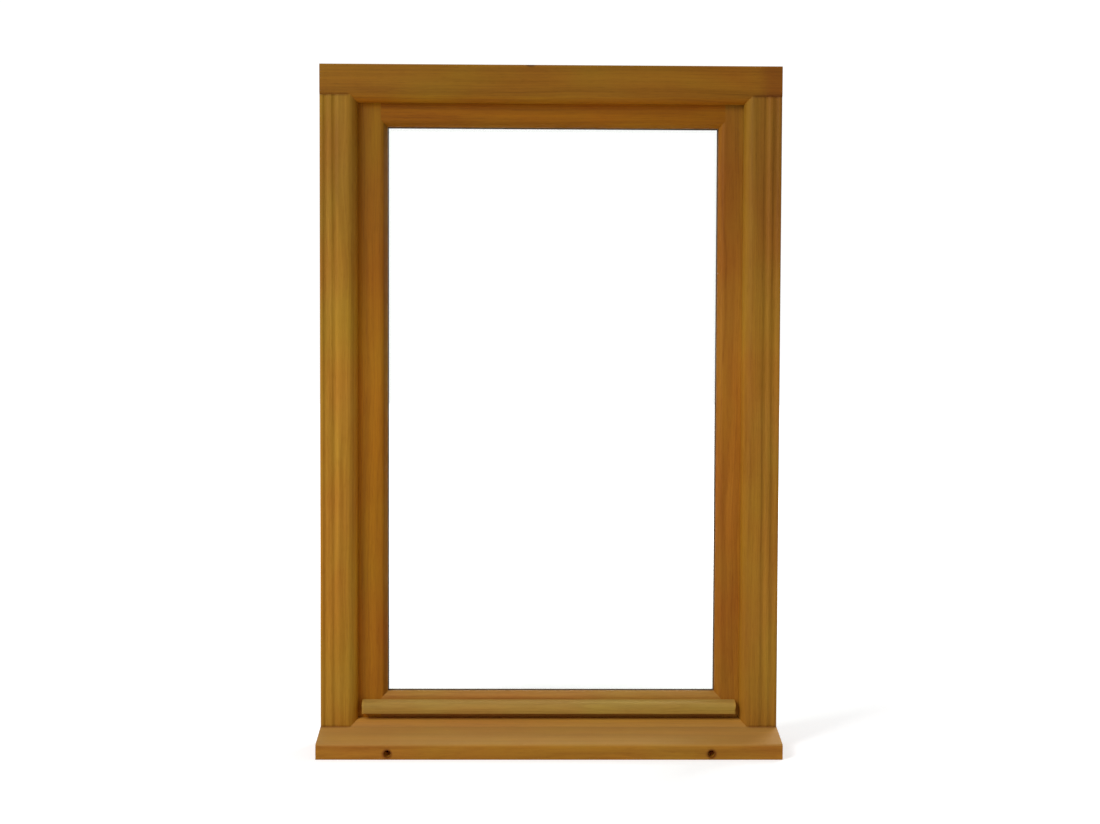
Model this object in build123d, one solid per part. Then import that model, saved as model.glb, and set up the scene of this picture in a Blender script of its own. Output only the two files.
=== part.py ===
from build123d import *
import os

# A wooden casement window of one light, seen from outside along +Y.
# +Z is up, +X is to the right, y = 0 is the frame's outside face and +Y runs indoors.
# The origin is under the middle of the sill, in the plane of the frame's outside face.
# The sash opens indoors, so it closes against the back of the frame's front leaf.

# Overall sizes of the frame, in millimetres
frame_width = 672.0
frame_height = 1002.0
frame_depth = 60.0

# Section of the head and jambs: a front leaf that laps the sash, and the rebate behind it
face_width = 44.0
chamfer = 10.0
leaf_depth = 18.0
rebate_lap = 12.0
arris_radius = 2.0
small_radius = 1.0

# The chamfer is rounded into the face and into the leaf's edge, as far as its own width allows
chamfer_radius = min(12.0, 1.4 * chamfer)

# Two shallow round flutes run down the front of each jamb, with a rounded crest between them
flute_setback = 9.0
flute_spacing = 13.0
flute_width = 9.0
flute_depth = 1.6

# The crest's rounding takes up at most this share of the flat between the flutes, at each side of it
crest_share = 0.45
flute_flat = flute_spacing - flute_width
flute_crest_radius = min(4.0, crest_share * flute_flat * flute_width / (2 * flute_depth))

# Sill: a drained nose that stands out in front of the frame
sill_nose_reach = 60.0
sill_nose_height = 22.0
sill_slope_top = 34.0
sill_rebate_floor = 32.0
sill_nose_radius = 5.0
drip_groove_width = 5.0
drip_groove_depth = 3.0
drip_groove_setback = 8.0

# The gutter in the sill's rebate, and the two bores that drain it through the nose
gutter_width = 10.0
gutter_depth = 12.0
gutter_setback = 10.0
gutter_end_margin = 16.0
drain_diameter = 10.0
drain_height = 9.0
drain_rise_degrees = 5.0
drain_end_distance = 103.0

# Tenons at the frame's corners, and at the sash's corners
frame_tenon_thickness = 15.0
frame_tenon_width = 28.0
sash_tenon_thickness = 14.0
sash_tenon_margin = 8.0

# Sash section: a front leaf, a glazing rebate behind it and a lip over the frame's back
sash_face_gap = 2.0
sash_edge_gap = 3.5
hinge_stile_face_width = 50.5
handle_stile_face_width = 43.8
top_rail_face_height = 41.2
bottom_rail_face_height = 45.4
sash_leaf_depth = 16.0
sash_bevel_width = 5.5
sash_bevel_depth = 8.0
sash_bevel_radius = min(6.0, sash_bevel_depth)
glazing_rebate = 18.0
lip_overlap = 12.0
lip_gap = 3.0
lip_thickness = 13.0
lip_radius = min(3.0, lip_thickness / 3)

# Weather bar on the bottom rail
weather_bar_end_gap = 6.0
weather_bar_reach = 19.0
weather_bar_base = 52.5
weather_bar_front_height = 14.5
weather_bar_height = 18.0
weather_bar_radius = 12.0
weather_bar_end_radius = 3.0
throat_setback = 4.0
throat_width = 4.0
throat_depth = 3.0

# Sealed glazing unit, its tapes and its setting blocks
# The outer tape shows as a thin line round the glass, and the inner one stops short of the bead's edge
tape_thickness = 2.0
tape_width = 7.0
outer_tape_proud = 1.5
inner_tape_inset = 1.0
glass_thickness = 4.0
glass_cavity = 12.0
glass_edge_gap = 4.0
spacer_inset = 3.0
spacer_width = 7.0
setting_block_length = 60.0
setting_block_inset = 60.0

# Splayed glazing beads on the room side, set back so that the sash's front leaf hides them
bead_setback = 5.0
bead_land = 2.0
bead_splay = 7.0

# Seal between the frame's back and the sash's lip
seal_width = 6.0
seal_bar_gap = 0.3

# Drill-in hinges beside the lip on the left
hinge_barrel_diameter = 14.0
hinge_barrel_height = 90.0
hinge_joint_gap = 0.3
hinge_cap_radius = 2.0
hinge_lip_gap = 0.5
hinge_stud_diameter = 7.0
hinge_stud_depth = 25.0
hinge_pin_diameter = 6.0
hinge_pin_length = 30.0
hinge_fit = 0.1
hinge_end_distance = 190.0

# Handle on the right stile, beside the glazing bead
rose_bead_gap = 2.0
rose_width = 28.0
rose_height = 68.0
rose_thickness = 9.0
rose_corner_radius = 8.0
rose_edge_radius = 2.0
neck_diameter = 15.0
neck_length = 30.0
grip_length = 118.0
grip_width = 19.0
grip_foot_width = 15.0
grip_thickness = 11.0
grip_corner_radius = 7.0
grip_foot_radius = 5.0
grip_edge_radius = 2.5
spindle_side = 7.0
spindle_fit = 0.1
spindle_bore = 12.0
spindle_depth = 28.0
spindle_in_neck = 18.0

# Places that several pieces share
half_width = frame_width / 2
leaf_edge_x = half_width - face_width - chamfer
rebate_x = leaf_edge_x + rebate_lap
face_edge_x = leaf_edge_x + chamfer
head_leaf_z = frame_height - face_width - chamfer
head_rebate_z = head_leaf_z + rebate_lap
head_face_z = head_leaf_z + chamfer
sill_leaf_z = sill_slope_top + chamfer

sash_front = leaf_depth + sash_face_gap
lip_front = frame_depth + lip_gap
sash_back = lip_front + lip_thickness
sash_edge_x = rebate_x - sash_edge_gap
sash_top_z = head_rebate_z - sash_edge_gap
sash_bottom_z = sill_rebate_floor + sash_edge_gap
sight_left_x = hinge_stile_face_width - sash_edge_x
sight_right_x = sash_edge_x - handle_stile_face_width
sight_top_z = sash_top_z - top_rail_face_height
sight_bottom_z = sash_bottom_z + bottom_rail_face_height
glass_rebate_top_z = sight_top_z + glazing_rebate
glass_rebate_bottom_z = sight_bottom_z - glazing_rebate
lip_x = rebate_x + lip_overlap

# The glass is centred between the stiles, a little to the right of the window's middle
glass_middle_x = (sight_left_x + sight_right_x) / 2
sight_half_width = (sight_right_x - sight_left_x) / 2
rebate_half_width = sight_half_width + glazing_rebate
pane_half_width = rebate_half_width - glass_edge_gap

outer_tape_y = sash_front + sash_leaf_depth
outer_pane_y = outer_tape_y + tape_thickness
cavity_y = outer_pane_y + glass_thickness
inner_pane_y = cavity_y + glass_cavity
inner_tape_y = inner_pane_y + glass_thickness
bead_y = inner_tape_y + tape_thickness
pane_top_z = glass_rebate_top_z - glass_edge_gap
pane_bottom_z = glass_rebate_bottom_z + glass_edge_gap

# A cylinder placed so runs from its end, not from its middle
from_end = (Align.CENTER, Align.CENTER, Align.MIN)


def block(low, high):
    """A square-edged solid between two corners."""
    sides = [high[i] - low[i] for i in range(3)]
    return Pos(*low) * Box(*sides, align=(Align.MIN, Align.MIN, Align.MIN))


def outline(corners):
    """A flat face through corners given as (across, up, radius)."""
    points = [(across, up) for across, up, radius in corners]
    radii = [radius for across, up, radius in corners]
    return make_face(FilletPolyline(*points, radius=radii, close=True))


def run_upright(section, low_z, high_z):
    """Run a section drawn in x and y from one height to another."""
    return extrude(Pos(0, 0, low_z) * section, amount=high_z - low_z)


def run_across(section, low_x, high_x):
    """Run a section drawn in y and z from one x to another."""
    plane = Plane(origin=(low_x, 0, 0), x_dir=(0, 1, 0), z_dir=(1, 0, 0))
    return extrude(plane * section, amount=high_x - low_x)


def run_inward(section, low_y, high_y):
    """Run a section drawn in x and z from one y to another, indoors."""
    plane = Plane(origin=(0, high_y, 0), x_dir=(1, 0, 0), z_dir=(0, -1, 0))
    return extrude(plane * section, amount=high_y - low_y)


def flip(shape):
    """The same piece on the other side of the window's middle."""
    return mirror(shape, about=Plane.YZ)


def over_glass(shape):
    """Move a piece made about the window's middle to the middle of the glass."""
    return Pos(glass_middle_x, 0, 0) * shape


def ring_bars(inner_x, bottom_z, top_z, width, low_y, high_y, inset=0.0):
    """Four straight bars round an opening, with a hair's gap at each corner."""
    edge_x = inner_x + inset
    outer_x = edge_x + width
    low_z = bottom_z - inset - width
    high_z = top_z + inset + width
    side_low = low_z + width + seal_bar_gap
    side_high = high_z - width - seal_bar_gap
    side = block((edge_x, low_y, side_low), (outer_x, high_y, side_high))
    return Compound([
        block((-outer_x, low_y, low_z), (outer_x, high_y, low_z + width)),
        block((-outer_x, low_y, high_z - width), (outer_x, high_y, high_z)),
        side,
        flip(side),
    ])


# Frame tenons, as solids that both pieces at a corner share
frame_tenon_y = leaf_depth + (frame_depth - leaf_depth - frame_tenon_thickness) / 2
frame_tenon_x = (rebate_x + half_width - frame_tenon_width) / 2


def frame_tenon(low_z, high_z):
    """A through tenon at the end of the right jamb."""
    low = (frame_tenon_x, frame_tenon_y, low_z)
    far_x = frame_tenon_x + frame_tenon_width
    return block(low, (far_x, frame_tenon_y + frame_tenon_thickness, high_z))


def jamb_leaf_blank():
    """The right jamb's front leaf, square-edged, with its ends cut to the mitres."""
    corners = [
        (half_width, sill_slope_top, 0),
        (half_width, head_face_z, 0),
        (face_edge_x, head_face_z, 0),
        (leaf_edge_x, head_leaf_z, 0),
        (leaf_edge_x, sill_leaf_z, 0),
        (face_edge_x, sill_slope_top, 0),
    ]
    return run_inward(outline(corners), 0, leaf_depth)


def make_jamb():
    """The right jamb: leaf with chamfer and flutes, rebated back, and a tenon each end."""
    profile = outline([
        (half_width, 0, arris_radius),
        (half_width, leaf_depth, 0),
        (leaf_edge_x, leaf_depth, 0),
        (leaf_edge_x, chamfer, chamfer_radius),
        (face_edge_x, 0, chamfer_radius),
    ])
    flute_radius = (flute_width ** 2 / 4 + flute_depth ** 2) / (2 * flute_depth)
    crests = []
    for step in range(2):
        flute_x = half_width - flute_setback - step * flute_spacing
        profile -= Pos(flute_x, flute_depth - flute_radius) * Circle(flute_radius)
        crests += [flute_x - flute_width / 2, flute_x + flute_width / 2]
    crest_corners = [
        corner for corner in profile.vertices()
        if corner.Y < small_radius and min(abs(corner.X - x) for x in crests) < small_radius / 2
    ]
    profile = fillet(crest_corners, flute_crest_radius)
    leaf = run_upright(profile, 0, frame_height) & jamb_leaf_blank()
    back_low = (rebate_x, leaf_depth, sill_rebate_floor)
    back = block(back_low, (half_width, frame_depth, head_rebate_z))
    lower_tenon = frame_tenon(0, sill_rebate_floor)
    upper_tenon = frame_tenon(head_rebate_z, frame_height)
    return leaf + back + lower_tenon + upper_tenon


def make_head():
    """The head runs the full width over the jambs, which it meets at a mitre."""
    profile = outline([
        (0, frame_height, arris_radius),
        (frame_depth, frame_height, 0),
        (frame_depth, head_rebate_z, 0),
        (leaf_depth, head_rebate_z, 0),
        (leaf_depth, head_leaf_z, 0),
        (chamfer, head_leaf_z, chamfer_radius),
        (0, head_face_z, chamfer_radius),
    ])
    head = run_across(profile, -half_width, half_width)
    corner = jamb_leaf_blank() + frame_tenon(head_rebate_z, frame_height)
    return head - corner - flip(corner)


def make_sill():
    """The sill: sloped nose, mitred upstand, gutter, drain bores and drip groove."""
    groove_front = -sill_nose_reach + drip_groove_setback
    profile = outline([
        (-sill_nose_reach, 0, arris_radius),
        (-sill_nose_reach, sill_nose_height, sill_nose_radius),
        (0, sill_slope_top, 0),
        (chamfer, sill_leaf_z, chamfer_radius),
        (leaf_depth, sill_leaf_z, 0),
        (leaf_depth, sill_rebate_floor, 0),
        (frame_depth, sill_rebate_floor, 0),
        (frame_depth, 0, 0),
        (groove_front + drip_groove_width, 0, 0),
        (groove_front + drip_groove_width, drip_groove_depth, 0),
        (groove_front, drip_groove_depth, 0),
        (groove_front, 0, 0),
    ])
    sill = run_across(profile, -half_width, half_width)
    corner = jamb_leaf_blank() + frame_tenon(0, sill_rebate_floor)
    sill = sill - corner - flip(corner)
    gutter_x = rebate_x - gutter_end_margin
    gutter_back = frame_depth - gutter_setback
    gutter_low = (-gutter_x, gutter_back - gutter_width, sill_rebate_floor - gutter_depth)
    sill -= block(gutter_low, (gutter_x, gutter_back, sill_rebate_floor))
    drain_run = sill_nose_reach + gutter_back - gutter_width / 2
    drain_x = half_width - drain_end_distance
    drain_turn = Rot(drain_rise_degrees - 90, 0, 0)
    bore = Pos(drain_x, -sill_nose_reach, drain_height) * drain_turn * Cylinder(
        drain_diameter / 2, 2 * drain_run)
    reach_low = (drain_x - drain_diameter, -2 * sill_nose_reach, 0)
    drain = bore & block(reach_low, (drain_x + drain_diameter, gutter_back, sill_rebate_floor))
    return sill - drain - flip(drain)


def sash_tenon(face_width, low_z, high_z):
    """A tenon from a rail through a stile on the right whose face is that wide."""
    low_x = sash_edge_x - face_width + glazing_rebate
    low_y = bead_y - tape_thickness - sash_tenon_thickness
    return block((low_x, low_y, low_z), (sash_edge_x, low_y + sash_tenon_thickness, high_z))


def top_tenon(face_width):
    """The tenon of the top rail."""
    return sash_tenon(face_width, glass_rebate_top_z, sash_top_z - sash_tenon_margin)


def bottom_tenon(face_width):
    """The tenon of the bottom rail."""
    return sash_tenon(face_width, sash_bottom_z + sash_tenon_margin, glass_rebate_bottom_z)


def sash_profile(edge, sight, rebate, lip, swap):
    """A sash member's section, from its outer edge to its sight edge."""
    side = 1 if edge > sight else -1
    corners = [
        (edge, sash_front, arris_radius),
        (sight + side * sash_bevel_width, sash_front, sash_bevel_radius),
        (sight, sash_front + sash_bevel_depth, small_radius),
        (sight, sash_front + sash_leaf_depth, 0),
        (rebate, sash_front + sash_leaf_depth, 0),
        (rebate, sash_back, 0),
        (lip, sash_back, lip_radius),
        (lip, lip_front, small_radius),
        (edge, lip_front, 0),
    ]
    if swap:
        corners = [(depth, across, radius) for across, depth, radius in corners]
    return outline(corners)


def make_stile(face_width):
    """A stile for the right side, full height of the sash, with its mortises."""
    sight_x = sash_edge_x - face_width
    profile = sash_profile(sash_edge_x, sight_x, sight_x + glazing_rebate, lip_x, swap=False)
    lip_top_z = head_rebate_z + lip_overlap
    lip_bottom_z = sill_rebate_floor - lip_overlap
    stile = run_upright(profile, lip_bottom_z, lip_top_z)
    low = (0, 0, lip_bottom_z)
    stile -= block(low, (half_width, lip_front, sash_bottom_z))
    stile -= block((0, 0, sash_top_z), (half_width, lip_front, lip_top_z))
    return stile - top_tenon(face_width) - bottom_tenon(face_width)


def make_rail(edge_z, sight_z, rebate_z, lip_z, tenon, left_stile, right_stile):
    """A rail between the stiles, coped over their bevels, with a tenon each end."""
    profile = sash_profile(edge_z, sight_z, rebate_z, lip_z, swap=True)
    rail = over_glass(run_across(profile, -rebate_half_width, rebate_half_width))
    rail = rail - left_stile - right_stile
    return rail + flip(tenon(hinge_stile_face_width)) + tenon(handle_stile_face_width)


def make_weather_bar():
    """A moulded bar that throws rain clear of the sill's upstand."""
    front = sash_front - weather_bar_reach
    base = weather_bar_base
    throat_front = front + throat_setback
    profile = outline([
        (sash_front, base, 0),
        (sash_front, base + weather_bar_height, 0),
        (front, base + weather_bar_front_height, weather_bar_radius),
        (front, base, small_radius),
        (throat_front, base, 0),
        (throat_front, base + throat_depth, 0),
        (throat_front + throat_width, base + throat_depth, 0),
        (throat_front + throat_width, base, 0),
    ])
    half_length = leaf_edge_x - weather_bar_end_gap
    bar = run_across(profile, -half_length, half_length)
    plan = outline([
        (-half_length, front, weather_bar_end_radius),
        (half_length, front, weather_bar_end_radius),
        (half_length, sash_front, 0),
        (-half_length, sash_front, 0),
    ])
    return bar & run_upright(plan, base, base + weather_bar_height)


def pane(low_y):
    """One sheet of glass in the unit."""
    low = (-pane_half_width, low_y, pane_bottom_z)
    return over_glass(block(low, (pane_half_width, low_y + glass_thickness, pane_top_z)))


def bead_profile(rebate, sight, swap):
    """A bead's section, whose face splays away from the glass towards the room."""
    side = 1 if rebate > sight else -1
    glass_edge = sight + side * bead_setback
    corners = [
        (rebate, bead_y, 0),
        (rebate, sash_back, 0),
        (glass_edge + side * bead_splay, sash_back, small_radius),
        (glass_edge, bead_y + bead_land, small_radius),
        (glass_edge, bead_y, 0),
    ]
    if swap:
        corners = [(depth, across, radius) for across, depth, radius in corners]
    return outline(corners)


def hinge_halves(base_z):
    """The frame half and the sash half of one hinge, with the pin on the frame half."""
    radius = hinge_barrel_diameter / 2
    axis_x = -lip_x - hinge_lip_gap - radius
    axis_y = (lip_front + sash_back) / 2
    half_height = (hinge_barrel_height - hinge_joint_gap) / 2
    middle = base_z + hinge_barrel_height / 2
    lower = Pos(axis_x, axis_y, base_z) * Cylinder(radius, half_height, align=from_end)
    lower = fillet(lower.edges().sort_by(Axis.Z)[0], hinge_cap_radius)
    upper_z = base_z + hinge_barrel_height - half_height
    upper = Pos(axis_x, axis_y, upper_z) * Cylinder(radius, half_height, align=from_end)
    upper = fillet(upper.edges().sort_by(Axis.Z)[-1], hinge_cap_radius)
    pin_z = middle - hinge_pin_length / 2
    pin = Pos(axis_x, axis_y, pin_z) * Cylinder(hinge_pin_diameter / 2, hinge_pin_length, align=from_end)
    pin_hole_radius = hinge_pin_diameter / 2 + hinge_fit
    pin_hole_height = hinge_pin_length + hinge_joint_gap
    pin_hole = Pos(axis_x, axis_y, pin_z) * Cylinder(pin_hole_radius, pin_hole_height, align=from_end)
    stud_radius = hinge_stud_diameter / 2
    into_frame = Pos(axis_x, axis_y, base_z + half_height / 2) * Rot(90, 0, 0)
    frame_reach = axis_y - frame_depth + hinge_stud_depth
    lower += into_frame * Cylinder(stud_radius, frame_reach, align=from_end)
    lower += pin
    into_sash = Pos(axis_x, axis_y, upper_z + half_height / 2) * Rot(0, 90, 0)
    sash_reach = radius + hinge_lip_gap + hinge_stud_depth
    sash_stud = into_sash * Cylinder(stud_radius, sash_reach, align=from_end)
    upper = upper + sash_stud - pin_hole
    hole_radius = stud_radius + hinge_fit
    frame_hole = into_frame * Cylinder(hole_radius, frame_reach + hinge_fit, align=from_end)
    sash_hole = into_sash * Cylinder(hole_radius, sash_reach + hinge_fit, align=from_end)
    return lower, upper, frame_hole, sash_hole


# The handle turns about an axis in the right stile's core, behind the middle of the rose
handle_x = sight_right_x + glazing_rebate + rose_bead_gap + rose_width / 2
handle_z = (sash_top_z + sash_bottom_z) / 2
spindle_y = sash_back - spindle_depth
spindle_end_y = sash_back + rose_thickness + spindle_in_neck


def square_bar(side, low_y, high_y):
    """A square bar along the handle's axis."""
    half = side / 2
    return block((handle_x - half, low_y, handle_z - half), (handle_x + half, high_y, handle_z + half))


def make_rose():
    """The plate under the handle, with a square hole for the spindle."""
    low_x = handle_x - rose_width / 2
    high_x = handle_x + rose_width / 2
    low_z = handle_z - rose_height / 2
    high_z = handle_z + rose_height / 2
    shape = outline([
        (low_x, low_z, rose_corner_radius),
        (high_x, low_z, rose_corner_radius),
        (high_x, high_z, rose_corner_radius),
        (low_x, high_z, rose_corner_radius),
    ])
    plate = run_inward(shape, sash_back, sash_back + rose_thickness)
    plate = fillet(plate.faces().sort_by(Axis.Y)[-1].edges(), rose_edge_radius)
    return plate - square_bar(spindle_side + 2 * spindle_fit, sash_back, sash_back + rose_thickness)


def make_lever():
    """A round neck off the rose and a flat grip that hangs down from it."""
    neck_low = sash_back + rose_thickness
    neck_turn = Pos(handle_x, neck_low, handle_z) * Rot(-90, 0, 0)
    neck = neck_turn * Cylinder(neck_diameter / 2, neck_length, align=from_end)
    half = grip_width / 2
    foot_half = grip_foot_width / 2
    grip_bottom = handle_z + half - grip_length
    shape = outline([
        (handle_x - half, handle_z + half, grip_corner_radius),
        (handle_x + half, handle_z + half, grip_corner_radius),
        (handle_x + foot_half, grip_bottom, grip_foot_radius),
        (handle_x - foot_half, grip_bottom, grip_foot_radius),
    ])
    grip_low = neck_low + neck_length - grip_thickness / 2
    grip = run_inward(shape, grip_low, grip_low + grip_thickness)
    flat_faces = grip.faces().sort_by(Axis.Y)
    grip = fillet(flat_faces[0].edges() + flat_faces[-1].edges(), grip_edge_radius)
    return neck + grip - square_bar(spindle_side + 2 * spindle_fit, neck_low, spindle_end_y)


# Timber frame
pieces = {}
jamb = make_jamb()
pieces["frame_head"] = make_head()
pieces["frame_jamb_left"] = flip(jamb)
pieces["frame_jamb_right"] = jamb
pieces["frame_sill"] = make_sill()

# Sash
left_stile = flip(make_stile(hinge_stile_face_width))
right_stile = make_stile(handle_stile_face_width)
top_rail_lip_z = head_rebate_z + lip_overlap
bottom_rail_lip_z = sill_rebate_floor - lip_overlap
pieces["sash_stile_left"] = left_stile
pieces["sash_stile_right"] = right_stile
pieces["sash_top_rail"] = make_rail(
    sash_top_z, sight_top_z, glass_rebate_top_z, top_rail_lip_z, top_tenon, left_stile, right_stile)
pieces["sash_bottom_rail"] = make_rail(
    sash_bottom_z, sight_bottom_z, glass_rebate_bottom_z, bottom_rail_lip_z, bottom_tenon,
    left_stile, right_stile)
pieces["weather_bar"] = make_weather_bar()

# Glazing
pieces["glass_pane_outer"] = pane(outer_pane_y)
pieces["glass_pane_inner"] = pane(inner_pane_y)
spacer_edge = pane_half_width - spacer_inset - spacer_width
pieces["glass_spacer"] = over_glass(ring_bars(
    spacer_edge,
    pane_bottom_z + spacer_inset + spacer_width,
    pane_top_z - spacer_inset - spacer_width,
    spacer_width, cavity_y, inner_pane_y))
tapes = {
    "outer": (outer_tape_y, -outer_tape_proud),
    "inner": (inner_tape_y, bead_setback + inner_tape_inset),
}
for tape_name, (tape_y, inset) in tapes.items():
    pieces["glazing_tape_" + tape_name] = over_glass(ring_bars(
        sight_half_width, sight_bottom_z, sight_top_z, tape_width, tape_y, tape_y + tape_thickness, inset))
block_low_x = pane_half_width - setting_block_inset - setting_block_length
setting_block = block(
    (block_low_x, outer_pane_y, glass_rebate_bottom_z),
    (block_low_x + setting_block_length, inner_tape_y, pane_bottom_z))
pieces["setting_blocks"] = over_glass(Compound([setting_block, flip(setting_block)]))

# Glazing beads: top and bottom run between the rebates, and the sides are coped to them
bead_top = run_across(
    bead_profile(glass_rebate_top_z, sight_top_z, True), -rebate_half_width, rebate_half_width)
bead_bottom = run_across(
    bead_profile(glass_rebate_bottom_z, sight_bottom_z, True), -rebate_half_width, rebate_half_width)
bead_side = run_upright(
    bead_profile(rebate_half_width, sight_half_width, False), glass_rebate_bottom_z, glass_rebate_top_z)
bead_side = bead_side - bead_top - bead_bottom
pieces["glazing_bead_top"] = over_glass(bead_top)
pieces["glazing_bead_bottom"] = over_glass(bead_bottom)
pieces["glazing_bead_left"] = over_glass(flip(bead_side))
pieces["glazing_bead_right"] = over_glass(bead_side)

# Seal against the lip
seal_inset = (lip_overlap - seal_width) / 2
pieces["lip_seal"] = ring_bars(
    rebate_x, sill_rebate_floor, head_rebate_z, seal_width, frame_depth, lip_front, seal_inset)

# Hinges, bored into the left jamb and the left stile
hinge_bases = {
    "lower": sash_bottom_z + hinge_end_distance - hinge_barrel_height,
    "upper": sash_top_z - hinge_end_distance,
}
for hinge_name, base_z in hinge_bases.items():
    frame_half, sash_half, frame_hole, sash_hole = hinge_halves(base_z)
    pieces["hinge_" + hinge_name + "_frame_half"] = frame_half
    pieces["hinge_" + hinge_name + "_sash_half"] = sash_half
    pieces["frame_jamb_left"] -= frame_hole
    pieces["sash_stile_left"] -= sash_hole

# Handle, with its spindle bored into the right stile
bore_turn = Pos(handle_x, sash_back - spindle_depth, handle_z) * Rot(-90, 0, 0)
spindle_hole = bore_turn * Cylinder(spindle_bore / 2, spindle_depth, align=from_end)
pieces["sash_stile_right"] -= spindle_hole
pieces["handle_rose"] = make_rose()
pieces["handle_lever"] = make_lever()
pieces["handle_spindle"] = square_bar(spindle_side, spindle_y, spindle_end_y)

os.makedirs("parts", exist_ok=True)
for node, shape in pieces.items():
    export_step(shape, "parts/" + node + ".step")
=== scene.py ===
import math

import bmesh
import bpy
from mathutils import Matrix, Vector


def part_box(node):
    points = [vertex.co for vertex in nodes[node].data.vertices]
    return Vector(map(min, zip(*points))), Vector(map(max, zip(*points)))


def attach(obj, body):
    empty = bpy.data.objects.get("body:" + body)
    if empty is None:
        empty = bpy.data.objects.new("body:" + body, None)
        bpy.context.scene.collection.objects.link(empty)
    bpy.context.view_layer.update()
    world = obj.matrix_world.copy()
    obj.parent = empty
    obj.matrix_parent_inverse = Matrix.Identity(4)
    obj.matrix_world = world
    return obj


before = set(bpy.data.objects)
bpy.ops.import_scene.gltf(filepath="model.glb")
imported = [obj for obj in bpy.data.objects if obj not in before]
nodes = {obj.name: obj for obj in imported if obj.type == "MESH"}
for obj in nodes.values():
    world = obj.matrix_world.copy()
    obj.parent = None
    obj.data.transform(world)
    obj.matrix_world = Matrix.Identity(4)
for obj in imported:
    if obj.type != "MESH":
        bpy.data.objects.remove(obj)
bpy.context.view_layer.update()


# Frame of planed softwood, brushed with a translucent golden-brown stain.
# The head runs over the jambs and the sill under them, tenoned through and mitred at the chamfers.
# The stain lets the growth rings show, sits darker in end grain and is paler on faces that look up,
# partly bleached and partly painted sheen. Painted shade and painted light also vary the coat with
# height, tilt and the seam.
def linear(hex_colour):
    """An sRGB hex colour as the linear colour that a shader takes."""
    parts = [int(hex_colour[i:i + 2], 16) / 255 for i in (1, 3, 5)]
    curve = [c / 12.92 if c <= 0.04045 else ((c + 0.055) / 1.055) ** 2.4 for c in parts]
    return (*curve, 1.0)


def add(tree, kind, settings=None, **sockets):
    """Adds a node. Its settings are attributes, and each socket takes a value or another socket."""
    node = tree.nodes.new(kind)
    for name, value in (settings or {}).items():
        setattr(node, name, value)
    for name, value in sockets.items():
        key = int(name[1:]) if name[1:].isdigit() else name.replace("_", " ")
        if isinstance(value, bpy.types.NodeSocket):
            tree.links.new(value, node.inputs[key])
        else:
            node.inputs[key].default_value = value
    return node


def new_finish(name):
    """A material with an empty node tree and its output node."""
    finish = bpy.data.materials.new(name)
    finish.use_nodes = True
    finish.node_tree.nodes.clear()
    output = finish.node_tree.nodes.new("ShaderNodeOutputMaterial")
    return finish, finish.node_tree, output


# Figure of the wood. Fibres and pores are drawn coarser than real ones, so that they show.
mm_per_m = 1000.0
noise_mean = 0.5
ring_spacing_mm = 3.2
ring_wander_mm = 16.0
ring_wander_width_mm = 100.0
ring_wander_length_mm = 320.0
streak_width_mm = 11.0
streak_length_mm = 420.0
fibre_width_mm = 0.8
fibre_length_mm = 40.0
pore_width_mm = 0.45
pore_length_mm = 16.0
pore_from = 0.56
pore_full = 0.70
blotch_width_mm = 60.0
blotch_length_mm = 150.0
grain_turn = {"x": (0.0, math.radians(-90), 0.0), "z": (0.0, 0.0, 0.0)}
grain_axis = {"x": (1.0, 0.0, 0.0), "z": (0.0, 0.0, 1.0)}

# A ring darkens through its year to the latewood, and good years are wider than bad ones
latewood_from = 0.30
latewood_full = 0.84
latewood_fades_from = 0.92
latewood_fade = 0.8
good_year_run = 0.3
good_year_stretch = 4.0

# How far each part of the figure takes the stain from its pale to its deep colour
even_depth = -0.66
ring_depth = 0.30
streak_depth = 1.0
fibre_depth = 0.50
pore_depth = 0.22
blotch_depth = 0.75
tint_strength = 0.20

# Weather and painted light and shade on the coat: a smooth change with the way a face looks and with
# its height, in metres
bleached_and_sheen_gold = "#C09A58"
bleach_and_sheen_from_tilt = 0.2
bleach_and_sheen_full_tilt = 0.95
# Painted shade: between these heights the coat is darkened towards the top, down to this level
painted_top_shade_from_z = 0.50
painted_top_shade_full_z = 0.88
painted_top_shade_level = 0.72
# Painted light: faces that look down are brightened, up to this level
underside_full_tilt = -0.9
underside_from_tilt = -0.2
painted_underside_light_level = 1.32
end_grain_from = 0.75
end_grain_full = 0.95
end_grain_tint = (0.68, 0.58, 0.48, 1)

# The seam round the sash, and the joints at the jambs' ends, measured from the seam's middle
opening_foot_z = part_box("frame_sill")[1][2]
opening_head_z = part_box("frame_head")[0][2]
chamfer_width = 0.010
seam_middle = (0.0, 0.0, (opening_foot_z + opening_head_z) / 2)
seam_half_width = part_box("frame_jamb_right")[0][0]
seam_half_height = (opening_head_z - opening_foot_z) / 2
seam_reach = 0.010
seam_ends_y = 0.030
seam_fade = 0.008
joint_half_height = seam_half_height + chamfer_width
joint_reach = 0.004
joint_from_x = seam_half_width + 0.008
joint_full_x = seam_half_width + 0.016
joint_from_y = -0.007
joint_full_y = -0.001
# Dirt and painted shadow along the joints at the jambs' ends
joint_grime_and_shadow = 0.55
joint_grime_and_shadow_tint = (0.45, 0.30, 0.16, 1)

# Painted light and shade beside the seam: what the coat there is multiplied by, strong, pale or dull
# for each member
seam_painted_light_strong = (1.50, 1.30, 0.40, 1)
seam_painted_light_pale = (1.15, 1.20, 1.10, 1)
seam_painted_light_dull = (1.08, 0.90, 0.40, 1)

# The film of stain is satin, a little rougher over the soft earlywood
film_ior = 1.45
film_specular = 0.14
film_roughness_low = 0.52
film_roughness_high = 0.64
relief_low = 0.3
relief_high = 1.1
ring_relief = 0.4
pore_relief = -0.5
relief_strength = 0.5
relief_height = 0.0001


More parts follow.
